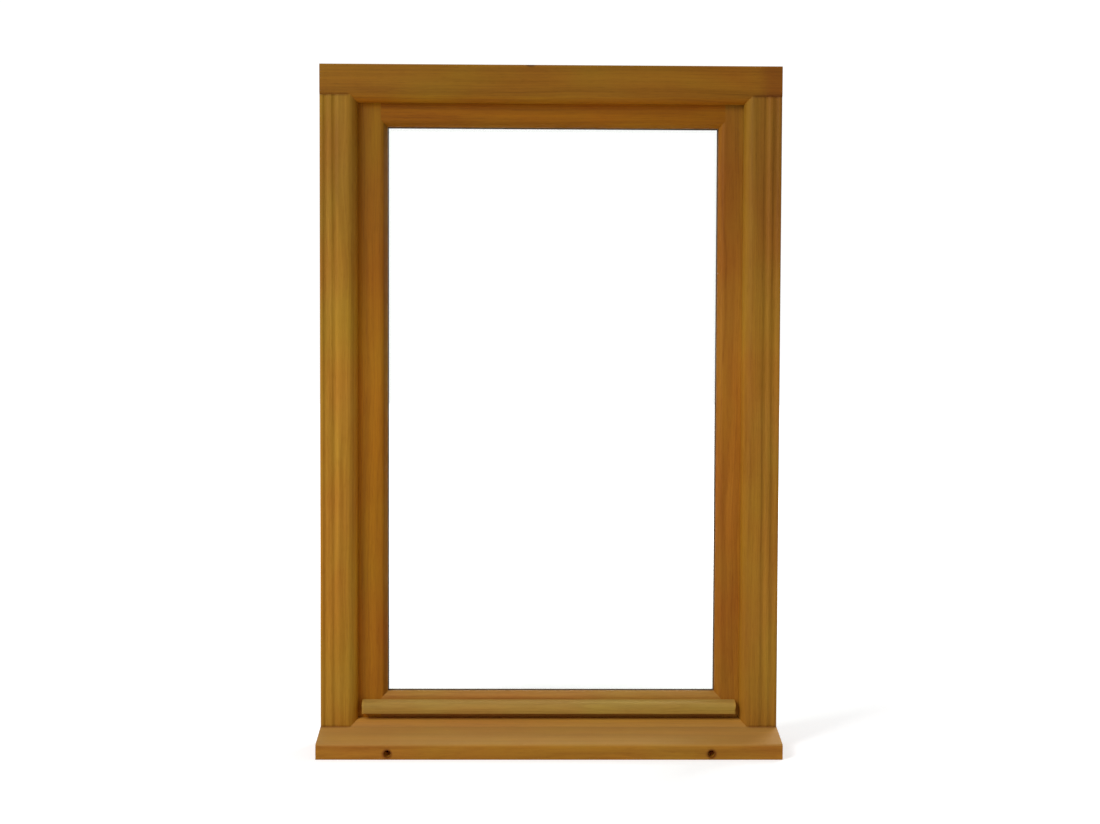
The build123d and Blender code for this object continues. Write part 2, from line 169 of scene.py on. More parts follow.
def stained_softwood(name, grain, heart_mm, pale, deep, bleach_and_sheen=0.0, seam=seam_painted_light_strong, marks=()):
    """Stained softwood whose grain runs along x or z, sawn heart_mm away from the tree's heart.

    The stain goes from its pale to its deep colour with the figure. The bleach argument is how far
    the faces that look up are paled, partly bleached and partly painted sheen, and seam is the
    painted light and shade that the coat beside the sash is multiplied by. Each of marks is a
    function that draws one more mark over the coat.
    """
    finish, tree, output = new_finish(name)
    place = add(tree, "ShaderNodeTexCoord")
    axes = add(tree, "ShaderNodeSeparateXYZ", Vector=place.outputs["Object"])
    turned = add(tree, "ShaderNodeSeparateXYZ", Vector=place.outputs["Normal"])
    board = add(tree, "ShaderNodeMapping", Vector=place.outputs["Object"],
                Rotation=grain_turn[grain], Scale=(mm_per_m, mm_per_m, mm_per_m))

    # Growth rings round the heart, whose line wanders slowly along the board
    wander_place = add(tree, "ShaderNodeMapping", Vector=board.outputs[0],
                       Scale=(1 / ring_wander_width_mm, 1 / ring_wander_width_mm,
                              1 / ring_wander_length_mm))
    wander = add(tree, "ShaderNodeTexNoise", Vector=wander_place.outputs[0], Scale=1.0, Detail=2.0)
    centred = add(tree, "ShaderNodeVectorMath", {"operation": "SUBTRACT"},
                  _0=wander.outputs["Color"], _1=(noise_mean, noise_mean, noise_mean))
    drift = add(tree, "ShaderNodeVectorMath", {"operation": "MULTIPLY_ADD"}, _0=centred.outputs[0],
                _1=(ring_wander_mm, ring_wander_mm, 0), _2=board.outputs[0])
    from_heart = add(tree, "ShaderNodeVectorMath", {"operation": "SUBTRACT"},
                     _0=drift.outputs[0], _1=(heart_mm[0], heart_mm[1], 0))
    across = add(tree, "ShaderNodeVectorMath", {"operation": "MULTIPLY"},
                 _0=from_heart.outputs[0], _1=(1, 1, 0))
    radius = add(tree, "ShaderNodeVectorMath", {"operation": "LENGTH"}, _0=across.outputs[0])
    years = add(tree, "ShaderNodeMath", {"operation": "DIVIDE"},
                _0=radius.outputs["Value"], _1=ring_spacing_mm)
    good_years = add(tree, "ShaderNodeTexNoise", {"noise_dimensions": "1D"},
                     W=years.outputs[0], Scale=good_year_run, Detail=2.0)
    uneven = add(tree, "ShaderNodeMath", {"operation": "MULTIPLY_ADD"},
                 _0=good_years.outputs["Fac"], _1=good_year_stretch, _2=years.outputs[0])
    year = add(tree, "ShaderNodeMath", {"operation": "FRACT"}, _0=uneven.outputs[0])
    latewood = add(tree, "ShaderNodeValToRGB", Fac=year.outputs[0])
    ramp = latewood.color_ramp
    ramp.elements[0].position = latewood_from
    ramp.elements[0].color = (0, 0, 0, 1)
    ramp.elements[1].position = latewood_full
    ramp.elements[1].color = (1, 1, 1, 1)
    ramp.elements.new(latewood_fades_from).color = (latewood_fade, latewood_fade, latewood_fade, 1)
    ramp.elements.new(1.0).color = (0, 0, 0, 1)
    dark_rings = add(tree, "ShaderNodeMath", {"operation": "MULTIPLY"},
                     _0=latewood.outputs["Color"], _1=good_years.outputs["Fac"])

    # Broad streaks, fine fibres, pores and blotches where the stain soaked in unevenly
    streak_place = add(tree, "ShaderNodeMapping", Vector=drift.outputs[0],
                       Scale=(1 / streak_width_mm, 1 / streak_width_mm, 1 / streak_length_mm))
    streaks = add(tree, "ShaderNodeTexNoise", Vector=streak_place.outputs[0], Scale=1.0, Detail=3.0)
    fibre_place = add(tree, "ShaderNodeMapping", Vector=board.outputs[0],
                      Scale=(1 / fibre_width_mm, 1 / fibre_width_mm, 1 / fibre_length_mm))
    fibres = add(tree, "ShaderNodeTexNoise", Vector=fibre_place.outputs[0], Scale=1.0, Detail=4.0)
    pore_place = add(tree, "ShaderNodeMapping", Vector=board.outputs[0],
                     Scale=(1 / pore_width_mm, 1 / pore_width_mm, 1 / pore_length_mm))
    pore_noise = add(tree, "ShaderNodeTexNoise", Vector=pore_place.outputs[0], Scale=1.0, Detail=1.0)
    pores = add(tree, "ShaderNodeMapRange", {"interpolation_type": "SMOOTHSTEP"},
                Value=pore_noise.outputs["Fac"], From_Min=pore_from, From_Max=pore_full)
    blotch_place = add(tree, "ShaderNodeMapping", Vector=board.outputs[0],
                       Scale=(1 / blotch_width_mm, 1 / blotch_width_mm, 1 / blotch_length_mm))
    blotches = add(tree, "ShaderNodeTexNoise", Vector=blotch_place.outputs[0], Scale=1.0, Detail=2.0)

    depth = even_depth
    for pattern, weight in (
        (dark_rings.outputs[0], ring_depth),
        (streaks.outputs["Fac"], streak_depth),
        (fibres.outputs["Fac"], fibre_depth),
        (pores.outputs[0], pore_depth),
        (blotches.outputs["Fac"], blotch_depth),
    ):
        layer = add(tree, "ShaderNodeMath", {"operation": "MULTIPLY_ADD"},
                    _0=pattern, _1=weight, _2=depth)
        depth = layer.outputs[0]
    layer.use_clamp = True
    stain = add(tree, "ShaderNodeMix", {"data_type": "RGBA"},
                _0=depth, _6=linear(pale), _7=linear(deep))

    # The coat wanders a little between gold and orange, with the noise brought to an average of 1
    tint = add(tree, "ShaderNodeVectorMath", {"operation": "SCALE"},
               _0=blotches.outputs["Color"], Scale=1 / noise_mean)
    stain = add(tree, "ShaderNodeMix", {"data_type": "RGBA", "blend_type": "MULTIPLY"},
                _0=tint_strength, _6=stain.outputs[2], _7=tint.outputs[0])

    # Faces that look up are paler, partly bleached by sun and rain and partly painted sheen.
    # Painted shade darkens the coat towards the top, and painted light brightens the faces that look
    # down.
    looks_up_bleach_and_sheen = add(tree, "ShaderNodeMapRange", {"interpolation_type": "SMOOTHSTEP"},
                   Value=turned.outputs["Z"], From_Min=bleach_and_sheen_from_tilt, From_Max=bleach_and_sheen_full_tilt,
                   To_Max=bleach_and_sheen)
    stain = add(tree, "ShaderNodeMix", {"data_type": "RGBA"},
                _0=looks_up_bleach_and_sheen.outputs[0], _6=stain.outputs[2], _7=linear(bleached_and_sheen_gold))
    painted_top_shade = add(tree, "ShaderNodeMapRange", {"interpolation_type": "SMOOTHSTEP"},
                    Value=axes.outputs["Z"], From_Min=painted_top_shade_from_z, From_Max=painted_top_shade_full_z,
                    To_Min=1.0, To_Max=painted_top_shade_level)
    painted_underside_light = add(tree, "ShaderNodeMapRange", {"interpolation_type": "SMOOTHSTEP"},
                     Value=turned.outputs["Z"], From_Min=underside_full_tilt,
                     From_Max=underside_from_tilt, To_Min=painted_underside_light_level, To_Max=1.0)
    painted_light_and_shade = add(tree, "ShaderNodeMath", {"operation": "MULTIPLY"},
                  _0=painted_top_shade.outputs[0], _1=painted_underside_light.outputs[0])
    stain = add(tree, "ShaderNodeVectorMath", {"operation": "SCALE"},
                _0=stain.outputs[2], Scale=painted_light_and_shade.outputs[0])

    # End grain drinks more stain
    facing = add(tree, "ShaderNodeVectorMath", {"operation": "DOT_PRODUCT"},
                 _0=place.outputs["Normal"], _1=grain_axis[grain])
    square_on = add(tree, "ShaderNodeMath", {"operation": "ABSOLUTE"}, _0=facing.outputs["Value"])
    end_grain = add(tree, "ShaderNodeMapRange", {"interpolation_type": "SMOOTHSTEP"},
                    Value=square_on.outputs[0], From_Min=end_grain_from, From_Max=end_grain_full)
    stain = add(tree, "ShaderNodeMix", {"data_type": "RGBA", "blend_type": "MULTIPLY"},
                _0=end_grain.outputs[0], _6=stain.outputs[0], _7=end_grain_tint)

    # Painted light and shade: beside the seam round the sash, the coat is multiplied by a tint that
    # stands in for the light in that recess
    from_middle = add(tree, "ShaderNodeVectorMath", {"operation": "SUBTRACT"},
                      _0=place.outputs["Object"], _1=seam_middle)
    either_side = add(tree, "ShaderNodeVectorMath", {"operation": "ABSOLUTE"},
                      _0=from_middle.outputs[0])
    side = add(tree, "ShaderNodeSeparateXYZ", Vector=either_side.outputs[0])
    past_side = add(tree, "ShaderNodeMath", {"operation": "SUBTRACT"},
                    _0=side.outputs["X"], _1=seam_half_width)
    past_end = add(tree, "ShaderNodeMath", {"operation": "SUBTRACT"},
                   _0=side.outputs["Z"], _1=seam_half_height)
    past_seam = add(tree, "ShaderNodeMath", {"operation": "MAXIMUM"},
                    _0=past_side.outputs[0], _1=past_end.outputs[0])
    off_seam = add(tree, "ShaderNodeMath", {"operation": "ABSOLUTE"}, _0=past_seam.outputs[0])
    in_seam = add(tree, "ShaderNodeMapRange", {"interpolation_type": "SMOOTHSTEP"},
                  Value=off_seam.outputs[0], From_Max=seam_reach, To_Min=1.0, To_Max=0.0)
    outdoors = add(tree, "ShaderNodeMapRange", Value=axes.outputs["Y"],
                   From_Min=seam_ends_y - seam_fade, From_Max=seam_ends_y, To_Min=1.0, To_Max=0.0)
    beside_seam = add(tree, "ShaderNodeMath", {"operation": "MULTIPLY"},
                      _0=in_seam.outputs[0], _1=outdoors.outputs[0])
    stain = add(tree, "ShaderNodeMix", {"data_type": "RGBA", "blend_type": "MULTIPLY"},
                _0=beside_seam.outputs[0], _6=stain.outputs[2], _7=seam)

    # Stain and dust have run into the joints at the jambs' ends, and painted shadow darkens them too
    past_joint = add(tree, "ShaderNodeMath", {"operation": "SUBTRACT"},
                     _0=side.outputs["Z"], _1=joint_half_height)
    off_joint = add(tree, "ShaderNodeMath", {"operation": "ABSOLUTE"}, _0=past_joint.outputs[0])
    in_joint = add(tree, "ShaderNodeMapRange", {"interpolation_type": "SMOOTHSTEP"},
                   Value=off_joint.outputs[0], From_Max=joint_reach, To_Min=joint_grime_and_shadow, To_Max=0.0)
    on_jamb = add(tree, "ShaderNodeMapRange", {"interpolation_type": "SMOOTHSTEP"},
                  Value=side.outputs["X"], From_Min=joint_from_x, From_Max=joint_full_x)
    at_face = add(tree, "ShaderNodeMapRange", {"interpolation_type": "SMOOTHSTEP"},
                  Value=axes.outputs["Y"], From_Min=joint_from_y, From_Max=joint_full_y)
    grime_and_shadow = in_joint
    for limit in (on_jamb, at_face, outdoors):
        grime_and_shadow = add(tree, "ShaderNodeMath", {"operation": "MULTIPLY"},
                    _0=grime_and_shadow.outputs[0], _1=limit.outputs[0])
    coat = add(tree, "ShaderNodeMix", {"data_type": "RGBA", "blend_type": "MULTIPLY"},
               _0=grime_and_shadow.outputs[0], _6=stain.outputs[2], _7=joint_grime_and_shadow_tint)

    # Marks that only this member has
    colour = coat.outputs[2]
    surface = {
        "point": place.outputs["Object"],
        "axes": axes.outputs,
        "normal": turned.outputs,
        "off_middle": side.outputs,
        "wander": centred.outputs[0],
    }
    for mark in marks:
        colour = mark(tree, surface, colour)

    # The film of stain stands up over the latewood and the fibres and sinks into the pores
    relief = add(tree, "ShaderNodeMath", {"operation": "MULTIPLY_ADD"},
                 _0=latewood.outputs["Color"], _1=ring_relief, _2=fibres.outputs["Fac"])
    relief = add(tree, "ShaderNodeMath", {"operation": "MULTIPLY_ADD"},
                 _0=pores.outputs[0], _1=pore_relief, _2=relief.outputs[0])
    rough = add(tree, "ShaderNodeMapRange", Value=relief.outputs[0],
                From_Min=relief_low, From_Max=relief_high,
                To_Min=film_roughness_high, To_Max=film_roughness_low)
    bump = add(tree, "ShaderNodeBump", Strength=relief_strength, Distance=relief_height,
               Height=relief.outputs[0])
    wood = add(tree, "ShaderNodeBsdfPrincipled", Base_Color=colour, Roughness=rough.outputs[0],
               Normal=bump.outputs[0], IOR=film_ior, Specular_IOR_Level=film_specular)
    tree.links.new(wood.outputs[0], output.inputs["Surface"])
    return finish


def clad(node_name, finish):
    """Gives a CAD node one finish all over."""
    for slot in nodes[node_name].material_slots:
        slot.material = finish


# Head of the frame: one board as long as the frame is wide, chamfered towards the opening.
# Stain has soaked in through its right end, and its top arris was bruised near the middle.
# Painted light beside the seam under the head
head_seam_painted_light = (1.18, 1.04, 0.42, 1)
head_right_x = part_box("frame_head")[1][0]
head_top_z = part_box("frame_head")[1][2]
frame_face_y = 0.0
soaked_length = 0.042
soaked_fade = 0.028
soaked_tint = (0.80, 0.64, 0.66, 1)
bruise_middle = (-0.030, frame_face_y, head_top_z)
bruise_squeeze = (0.5, 1.0, 1.0)
bruise_core = 0.0015
bruise_reach = 0.0050
bruise_strength = 0.60
bruise_brown = "#2A1608"


def soaked_end(tree, surface, colour):
    """Stain that went in through the end grain has reddened the last few centimetres."""
    soaked_from_x = head_right_x - soaked_length
    soaked = add(tree, "ShaderNodeMapRange", {"interpolation_type": "SMOOTHSTEP"},
                 Value=surface["axes"]["X"], From_Min=soaked_from_x,
                 From_Max=soaked_from_x + soaked_fade)
    reddened = add(tree, "ShaderNodeMix", {"data_type": "RGBA", "blend_type": "MULTIPLY"},
                   _0=soaked.outputs[0], _6=colour, _7=soaked_tint)
    return reddened.outputs[2]


def bruise(tree, surface, colour):
    """A bruise on the arris, twice as long along the grain as it is high."""
    from_bruise = add(tree, "ShaderNodeVectorMath", {"operation": "SUBTRACT"},
                      _0=surface["point"], _1=bruise_middle)
    squeezed = add(tree, "ShaderNodeVectorMath", {"operation": "MULTIPLY"},
                   _0=from_bruise.outputs[0], _1=bruise_squeeze)
    distance = add(tree, "ShaderNodeVectorMath", {"operation": "LENGTH"}, _0=squeezed.outputs[0])
    bruised = add(tree, "ShaderNodeMapRange", {"interpolation_type": "SMOOTHSTEP"},
                  Value=distance.outputs["Value"], From_Min=bruise_core, From_Max=bruise_reach,
                  To_Min=bruise_strength, To_Max=0.0)
    darkened = add(tree, "ShaderNodeMix", {"data_type": "RGBA"},
                   _0=bruised.outputs[0], _6=colour, _7=linear(bruise_brown))
    return darkened.outputs[2]


clad("frame_head", stained_softwood(
    "stained_softwood_head", grain="x", heart_mm=(-92, 74), pale="#B0761A", deep="#7D4E06",
    bleach_and_sheen=0.40, seam=head_seam_painted_light, marks=(soaked_end, bruise)))

# Jambs: two uprights, each with two flutes worked down its face and a chamfer beside the sash.
# The left one is coloured lighter than the right one, and each takes its own painted light and shade
# beside the seam.
clad("frame_jamb_left", stained_softwood(
    "stained_softwood_left_jamb", grain="z", heart_mm=(-262, 96), pale="#BA862A", deep="#8C5E10",
    seam=seam_painted_light_dull))
clad("frame_jamb_right", stained_softwood(
    "stained_softwood_right_jamb", grain="z", heart_mm=(392, 84), pale="#AE7824", deep="#80520E",
    seam=seam_painted_light_pale))

# Sill: a thick board that slopes out past the frame's face and sheds the rain.
# Two bores drain its gutter through the nose. Water has stained the wood round their mouths
# red-brown. Their walls carry painted light, brown just behind the mouth and bright orange deeper in.
# Painted light beside the seam over the sill
sill_seam_painted_light = (1.12, 1.05, 0.70, 1)
nose_front_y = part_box("frame_sill")[0][1]
drain_x = 0.233
drain_mouth_z = 0.009
drain_climb = math.tan(math.radians(5))
drain_stain_full = 0.0035
drain_stain_reach = 0.0095
drain_stain_waver = 0.004
drain_stain_tint = (0.30, 0.12, 0.0, 1)
nose_full_y = -0.045
nose_ends_y = -0.025
bore_wall_reach = 0.0054
bore_wall_tilt = 0.5
bore_dark_depth = 0.016
bore_mouth_brown = "#763F00"
bore_wall_painted_light_orange = "#F9B53F"


def drain_marks(tree, surface, colour):
    """The red-brown stain round the mouth of each drain, and painted light on the walls of its bore."""
    beside = add(tree, "ShaderNodeMath", {"operation": "SUBTRACT"},
                 _0=surface["off_middle"]["X"], _1=drain_x)
    above = add(tree, "ShaderNodeMath", {"operation": "SUBTRACT"},
                _0=surface["axes"]["Z"], _1=drain_mouth_z)
    from_drain = add(tree, "ShaderNodeCombineXYZ", X=beside.outputs[0], Y=above.outputs[0])
    ragged = add(tree, "ShaderNodeVectorMath", {"operation": "MULTIPLY_ADD"}, _0=surface["wander"],
                 _1=(drain_stain_waver, drain_stain_waver, 0.0), _2=from_drain.outputs[0])
    distance = add(tree, "ShaderNodeVectorMath", {"operation": "LENGTH"}, _0=ragged.outputs[0])
    near_drain = add(tree, "ShaderNodeMapRange", {"interpolation_type": "SMOOTHSTEP"},
                     Value=distance.outputs["Value"], From_Min=drain_stain_full,
                     From_Max=drain_stain_reach, To_Min=1.0, To_Max=0.0)
    in_nose = add(tree, "ShaderNodeMapRange", Value=surface["axes"]["Y"],
                  From_Min=nose_full_y, From_Max=nose_ends_y, To_Min=1.0, To_Max=0.0)
    wet = add(tree, "ShaderNodeMath", {"operation": "MULTIPLY"},
              _0=near_drain.outputs[0], _1=in_nose.outputs[0])
    stained = add(tree, "ShaderNodeMix", {"data_type": "RGBA", "blend_type": "MULTIPLY"},
                  _0=wet.outputs[0], _6=colour, _7=drain_stain_tint)

    # The bore climbs towards the gutter, so its axis rises behind the mouth
    behind_mouth = add(tree, "ShaderNodeMath", {"operation": "SUBTRACT"},
                       _0=surface["axes"]["Y"], _1=nose_front_y)
    off_axis = add(tree, "ShaderNodeMath", {"operation": "MULTIPLY_ADD"},
                   _0=behind_mouth.outputs[0], _1=-drain_climb, _2=above.outputs[0])
    from_axis = add(tree, "ShaderNodeCombineXYZ", X=beside.outputs[0], Y=off_axis.outputs[0])
    axis_distance = add(tree, "ShaderNodeVectorMath", {"operation": "LENGTH"}, _0=from_axis.outputs[0])
    near_wall = add(tree, "ShaderNodeMath", {"operation": "LESS_THAN"},
                    _0=axis_distance.outputs["Value"], _1=bore_wall_reach)
    along_bore = add(tree, "ShaderNodeMath", {"operation": "COMPARE"},
                     _0=surface["normal"]["Y"], _1=0.0, _2=bore_wall_tilt)
    on_wall = add(tree, "ShaderNodeMath", {"operation": "MULTIPLY"},
                  _0=near_wall.outputs[0], _1=along_bore.outputs[0])
    # Painted light: the bore walls go from brown at the mouth to a bright orange deeper in, where shade
    # would fall
    past_dark = add(tree, "ShaderNodeMapRange", Value=behind_mouth.outputs[0],
                    From_Max=bore_dark_depth)
    painted_bore_wall = add(tree, "ShaderNodeMix", {"data_type": "RGBA"}, _0=past_dark.outputs[0],
               _6=linear(bore_mouth_brown), _7=linear(bore_wall_painted_light_orange))
    walled = add(tree, "ShaderNodeMix", {"data_type": "RGBA"},
                 _0=on_wall.outputs[0], _6=stained.outputs[2], _7=painted_bore_wall.outputs[2])
    return walled.outputs[2]


clad("frame_sill", stained_softwood(
    "stained_softwood_sill", grain="x", heart_mm=(-30, 118), pale="#B87C28", deep="#865214",
    bleach_and_sheen=0.40, seam=sill_seam_painted_light, marks=(drain_marks,)))

# Sash of the same softwood from another batch, stained a shade more orange.
# The stiles run the full height, and the rails are coped over their bevels and tenoned in.
# Each sash member takes painted light and shade beside the seam, and the bottom rail's top is paled,
# partly bleached and partly painted sheen.
clad("sash_stile_left", stained_softwood(
    "stained_softwood_left_stile", grain="z", heart_mm=(-204, 118), pale="#AC6E12", deep="#7B4802"))
clad("sash_stile_right", stained_softwood(
    "stained_softwood_right_stile", grain="z", heart_mm=(214, 128), pale="#B27420", deep="#824C0C",
    seam=seam_painted_light_pale))
clad("sash_top_rail", stained_softwood(
    "stained_softwood_top_rail", grain="x", heart_mm=(-1010, 96), pale="#B4700A", deep="#7E4800"))
clad("sash_bottom_rail", stained_softwood(
    "stained_softwood_bottom_rail", grain="x", heart_mm=(-12, 112), pale="#B67E34", deep="#86561E",
    bleach_and_sheen=0.14, seam=seam_painted_light_dull))

# Weather bar, moulded from one stick of softwood and pinned across the foot of the sash.
# It faces the rain and has bleached to a paler, olive gold, and its top is paler still, partly bleached
# and partly painted sheen.
clad("weather_bar", stained_softwood(
    "stained_softwood_weather_bar", grain="x", heart_mm=(-20, 70), pale="#B48C3E", deep="#886624",
    bleach_and_sheen=0.25))

# Sealed double glazing: two panes of clear float glass, bedded on tapes in the sash's rebate.
# Float glass is smooth and nearly colourless, and lamps shine through it.
glass_ior = 1.52
clear_float_glass, tree, output = new_finish("clear_float_glass")
sheet = add(tree, "ShaderNodeBsdfPrincipled", Base_Color=linear("#FEFFFE"), Roughness=0.0,
            IOR=glass_ior, Transmission_Weight=1.0)
clear = add(tree, "ShaderNodeBsdfTransparent", Color=linear("#FBFEFC"))
path = add(tree, "ShaderNodeLightPath")
lamp_light = add(tree, "ShaderNodeMath", {"operation": "MAXIMUM"},
                 _0=path.outputs["Is Shadow Ray"], _1=path.outputs["Is Diffuse Ray"])
pane = add(tree, "ShaderNodeMixShader", _0=lamp_light.outputs[0], _1=sheet.outputs[0],
           _2=clear.outputs[0])
tree.links.new(pane.outputs[0], output.inputs["Surface"])
clad("glass_pane_outer", clear_float_glass)
clad("glass_pane_inner", clear_float_glass)

# Spacer of folded mill-finish aluminium strip round the edge of the unit.
# Rolling leaves faint lines along it. Its inner face has two rows of breathing holes, and dark
# butyl shows along both of its edges.
spacer_middle_y = 0.048
butyl_from_middle = 0.0051
hole_pitch_mm = 2.4
hole_row_from_middle_mm = 1.8
hole_radius_mm = 0.40
rolling_lines_per_m = 4000.0
rolling_breaks_per_m = 120.0
rolled_roughness_low = 0.26
rolled_roughness_high = 0.44
sideways_tilt = 0.5
mill_grey = "#A9ABAC"
butyl_black = "#1A1A1A"
mill_aluminium, tree, output = new_finish("mill_finish_aluminium_spacer")
spot = add(tree, "ShaderNodeTexCoord")
axes = add(tree, "ShaderNodeSeparateXYZ", Vector=spot.outputs["Object"])
turned = add(tree, "ShaderNodeSeparateXYZ", Vector=spot.outputs["Normal"])
sideways = add(tree, "ShaderNodeMath", {"operation": "ABSOLUTE"}, _0=turned.outputs["X"])
upright_run = add(tree, "ShaderNodeMath", {"operation": "GREATER_THAN"},
                  _0=sideways.outputs[0], _1=sideways_tilt)
along = add(tree, "ShaderNodeMix", {"data_type": "FLOAT"}, _0=upright_run.outputs[0],
            _2=axes.outputs["X"], _3=axes.outputs["Z"])
pitches = add(tree, "ShaderNodeMath", {"operation": "MULTIPLY"},
              _0=along.outputs[0], _1=mm_per_m / hole_pitch_mm)
in_pitch = add(tree, "ShaderNodeMath", {"operation": "FRACT"}, _0=pitches.outputs[0])
off_hole = add(tree, "ShaderNodeMath", {"operation": "MULTIPLY_ADD"},
               _0=in_pitch.outputs[0], _1=hole_pitch_mm, _2=-hole_pitch_mm / 2)
past_middle = add(tree, "ShaderNodeMath", {"operation": "SUBTRACT"},
                  _0=axes.outputs["Y"], _1=spacer_middle_y)
off_middle = add(tree, "ShaderNodeMath", {"operation": "ABSOLUTE"}, _0=past_middle.outputs[0])
off_row = add(tree, "ShaderNodeMath", {"operation": "MULTIPLY_ADD"},
              _0=off_middle.outputs[0], _1=mm_per_m, _2=-hole_row_from_middle_mm)
from_hole = add(tree, "ShaderNodeCombineXYZ", X=off_hole.outputs[0], Y=off_row.outputs[0])
hole_distance = add(tree, "ShaderNodeVectorMath", {"operation": "LENGTH"}, _0=from_hole.outputs[0])
in_hole = add(tree, "ShaderNodeMath", {"operation": "LESS_THAN"},
              _0=hole_distance.outputs["Value"], _1=hole_radius_mm)
in_butyl = add(tree, "ShaderNodeMath", {"operation": "GREATER_THAN"},
               _0=off_middle.outputs[0], _1=butyl_from_middle)
dark = add(tree, "ShaderNodeMath", {"operation": "MAXIMUM"},
           _0=in_hole.outputs[0], _1=in_butyl.outputs[0])
strip_colour = add(tree, "ShaderNodeMix", {"data_type": "RGBA"}, _0=dark.outputs[0],
                   _6=linear(mill_grey), _7=linear(butyl_black))
rolling_place = add(tree, "ShaderNodeMapping", Vector=spot.outputs["Object"],
                    Scale=(rolling_breaks_per_m, rolling_lines_per_m, rolling_breaks_per_m))
rolling_lines = add(tree, "ShaderNodeTexNoise", Vector=rolling_place.outputs[0], Scale=1.0,
                    Detail=2.0)
rolled = add(tree, "ShaderNodeMapRange", Value=rolling_lines.outputs["Fac"],
             To_Min=rolled_roughness_low, To_Max=rolled_roughness_high)
strip = add(tree, "ShaderNodeBsdfPrincipled", Base_Color=strip_colour.outputs[2], Metallic=1.0,
            Roughness=rolled.outputs[0])
tree.links.new(strip.outputs[0], output.inputs["Surface"])
clad("glass_spacer", mill_aluminium)


# Two tapes bed the glass, setting blocks carry it, and a lip seal closes the gap round the sash.
# Tapes and seal are matt extruded rubber, and the blocks are hard moulded plastic.
# Sun and dust have faded the outer tape to a grey brown.
grit_spread = 0.2
grit_strength = 0.2
grit_height = 0.00005


def plain_finish(name, base, roughness, metallic=0.0, grit_mm=0.6):
    """A finish of one colour with a fine grit in its roughness and surface."""
    finish, tree, output = new_finish(name)
    spot = add(tree, "ShaderNodeTexCoord")
    grit = add(tree, "ShaderNodeTexNoise", Vector=spot.outputs["Object"],
               Scale=mm_per_m / grit_mm, Detail=3.0)
    rough = add(tree, "ShaderNodeMapRange", Value=grit.outputs["Fac"],
                To_Min=roughness * (1 - grit_spread), To_Max=roughness * (1 + grit_spread))
    bump = add(tree, "ShaderNodeBump", Strength=grit_strength, Distance=grit_height,
               Height=grit.outputs["Fac"])
    body = add(tree, "ShaderNodeBsdfPrincipled", Base_Color=linear(base), Metallic=metallic,
               Roughness=rough.outputs[0], Normal=bump.outputs[0])
    tree.links.new(body.outputs[0], output.inputs["Surface"])
    return finish


rubber_grit_mm = 0.4
black_rubber = plain_finish("extruded_black_rubber", base="#1C1B1A", roughness=0.7,
                            grit_mm=rubber_grit_mm)
weathered_rubber = plain_finish("weathered_grey_brown_rubber", base="#54483A", roughness=0.75,
                                grit_mm=rubber_grit_mm)
hard_plastic = plain_finish("moulded_hard_plastic", base="#26282B", roughness=0.5)
clad("glazing_tape_outer", weathered_rubber)
clad("glazing_tape_inner", black_rubber)
clad("lip_seal", black_rubber)
clad("setting_blocks", hard_plastic)

# Glazing beads of the sash's softwood, cut to length and pinned on the room side.
# The two side beads come from one stick, so they share its figure.
bead_gold = "#A86C12"
bead_brown = "#784602"
clad("glazing_bead_top", stained_softwood(
    "stained_softwood_bead_top", grain="x", heart_mm=(-960, 130), pale=bead_gold, deep=bead_brown))
clad("glazing_bead_bottom", stained_softwood(
    "stained_softwood_bead_foot", grain="x", heart_mm=(-60, 130), pale=bead_gold, deep=bead_brown))
side_bead_finish = stained_softwood(
    "stained_softwood_bead_sides", grain="z", heart_mm=(0, 130), pale=bead_gold, deep=bead_brown)
clad("glazing_bead_left", side_bead_finish)
clad("glazing_bead_right", side_bead_finish)

# Steel pins hold the beads, driven through their flat backs and set almost flush.
# They stand a hand's breadth apart, with one near each end of a bead.
pin_radius = 0.0011
pin_taper = 0.8
pin_proud = 0.0001
pin_sunk = 0.0006
pin_spacing = 0.150
pin_end_margin = 0.040
pin_from_bead_edge = 0.003
pin_sides = 14
pins = bmesh.new()


def drive_pins(bead_name, run, edge):
    """Sets a row of pin heads in a bead that runs along x or z, near its low or its high edge."""
    low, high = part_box(bead_name)
    along, across = {"x": (0, 2), "z": (2, 0)}[run]
    row = {"low": low[across] + pin_from_bead_edge, "high": high[across] - pin_from_bead_edge}[edge]
    first = low[along] + pin_end_margin
    last = high[along] - pin_end_margin
    gaps = max(1, round((last - first) / pin_spacing))
    for step in range(gaps + 1):
        spot = [0.0, high[1] + (pin_proud - pin_sunk) / 2, 0.0]
        spot[along] = first + (last - first) * step / gaps
        spot[across] = row
        head = Matrix.Translation(spot) @ Matrix.Rotation(math.radians(-90), 4, "X")
        bmesh.ops.create_cone(pins, cap_ends=True, segments=pin_sides, radius1=pin_radius,
                              radius2=pin_radius * pin_taper, depth=pin_proud + pin_sunk, matrix=head)


drive_pins("glazing_bead_top", run="x", edge="high")
drive_pins("glazing_bead_bottom", run="x", edge="low")
drive_pins("glazing_bead_left", run="z", edge="low")
drive_pins("glazing_bead_right", run="z", edge="high")
sharp_edge_angle = math.radians(32)


def finished_piece(name, shape, finish, smooth=False):
    """Turns a bmesh into a named object that rides with the window."""
    mesh = bpy.data.meshes.new(name)
    shape.to_mesh(mesh)
    shape.free()
    mesh.materials.append(finish)
    if smooth:
        mesh.shade_smooth()
        mesh.set_sharp_from_angle(angle=sharp_edge_angle)
    piece = bpy.data.objects.new(name, mesh)
    bpy.context.scene.collection.objects.link(piece)
    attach(piece, "root")


bright_steel = plain_finish("bright_steel_pins", base="#6E6A62", roughness=0.40, metallic=1.0)
finished_piece("bead_pins", pins, bright_steel)

